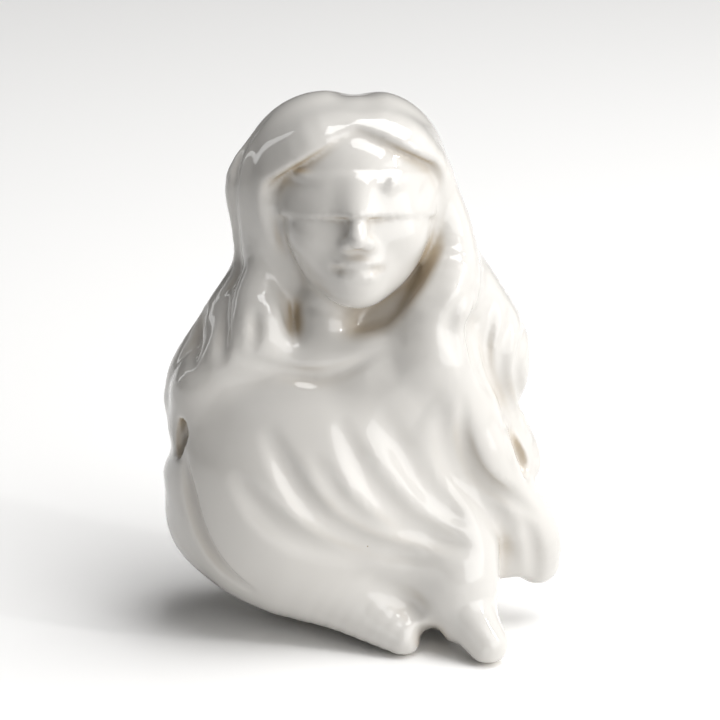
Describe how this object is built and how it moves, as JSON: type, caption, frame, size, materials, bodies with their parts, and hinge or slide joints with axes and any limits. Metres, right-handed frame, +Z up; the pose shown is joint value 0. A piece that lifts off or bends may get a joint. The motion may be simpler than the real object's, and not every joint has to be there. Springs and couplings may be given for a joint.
{
  "type": "statuette",
  "caption": "White glazed porcelain statuette of a blindfolded goddess with long hair, wrapped in a cloak whose hem runs out in soft drips; stands on a flat underside.",
  "frame": {"origin": "a point of the flat underside below the middle of the figure", "axes": "+Z up out of the underside, +X to the viewer's right when the face is looked at, -Y to the front where the face looks"},
  "size_m": [0.1066, 0.0661, 0.1455],
  "materials": {
    "white_glaze": "high-gloss clear glaze over white slip-cast porcelain, pooled a little warmer in the recesses"
  },
  "bodies": {
    "root": {"goddess_figurine": "white_glaze"}
  },
  "joints": []
}
